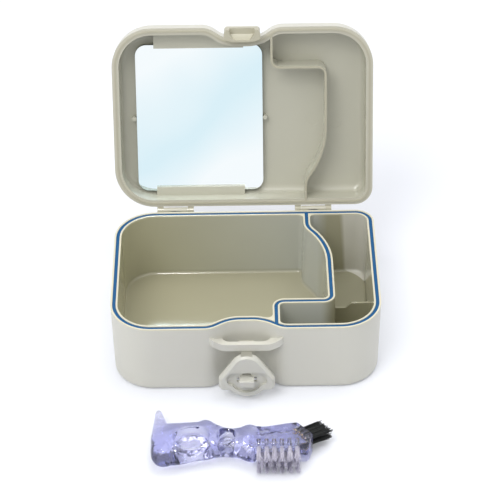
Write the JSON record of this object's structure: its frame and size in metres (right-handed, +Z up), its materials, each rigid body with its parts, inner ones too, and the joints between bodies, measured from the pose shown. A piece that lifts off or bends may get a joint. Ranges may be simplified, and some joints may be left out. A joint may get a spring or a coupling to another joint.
{
  "type": "denture case",
  "caption": "Hinged denture case with a gasketed two-compartment tub, a mirror in the lid, a front handle, a swing latch and a small clear denture brush.",
  "frame": {"origin": "centre of the tub's flat underside", "axes": "+X to the right seen from the latch side, +Y towards the hinges, +Z up"},
  "size_m": [0.13, 0.1985, 0.1293],
  "materials": {
    "case_plastic": "satin warm grey polypropylene",
    "gasket_rubber": "satin blue soft seal",
    "mirror_glass": "polished",
    "pin_steel": "satin",
    "clear_plastic": "clear with a faint violet tint",
    "clear_bristle": "translucent nylon",
    "dark_bristle": "black nylon",
    "anchor_brass": "satin"
  },
  "bodies": {
    "base": {"base_tub": "case_plastic", "rim_gasket": "gasket_rubber"},
    "lid": {"lid_shell": "case_plastic", "mirror": "mirror_glass", "hinge_pin_left": "pin_steel", "hinge_pin_right": "pin_steel"},
    "latch": {"latch_flap": "case_plastic", "latch_pin": "pin_steel"},
    "brush": {"brush_handle": "clear_plastic", "clear_tuft_01": "clear_bristle", "clear_tuft_02": "clear_bristle", "clear_tuft_03": "clear_bristle", "clear_tuft_04": "clear_bristle", "clear_tuft_05": "clear_bristle", "clear_tuft_06": "clear_bristle", "clear_tuft_07": "clear_bristle", "clear_tuft_08": "clear_bristle", "clear_tuft_09": "clear_bristle", "clear_tuft_10": "clear_bristle", "clear_tuft_11": "clear_bristle", "clear_tuft_12": "clear_bristle", "clear_tuft_13": "clear_bristle", "clear_tuft_14": "clear_bristle", "clear_tuft_15": "clear_bristle", "clear_tuft_16": "clear_bristle", "clear_tuft_17": "clear_bristle", "dark_tuft_01": "dark_bristle", "dark_tuft_02": "dark_bristle", "dark_tuft_03": "dark_bristle", "dark_tuft_04": "dark_bristle", "dark_tuft_05": "dark_bristle", "dark_tuft_06": "dark_bristle", "dark_tuft_07": "dark_bristle", "dark_tuft_08": "dark_bristle", "tuft_anchors": "anchor_brass"}
  },
  "joints": [
    {"name": "lid_hinge", "type": "hinge", "parent": "base", "child": "lid", "pos_m": [0, 0.0482, 0.0377], "axis": [1, 0, 0], "range_deg": [0, 109]},
    {"name": "latch_pivot", "type": "hinge", "parent": "base", "child": "latch", "pos_m": [0, -0.0498, 0.0226], "axis": [-1, 0, 0], "range_deg": [0, 174]},
    {"name": "brush_lift", "type": "slide", "parent": "base", "child": "brush", "axis": [0, 0, 1], "range_m": [0, 0.06]}
  ]
}
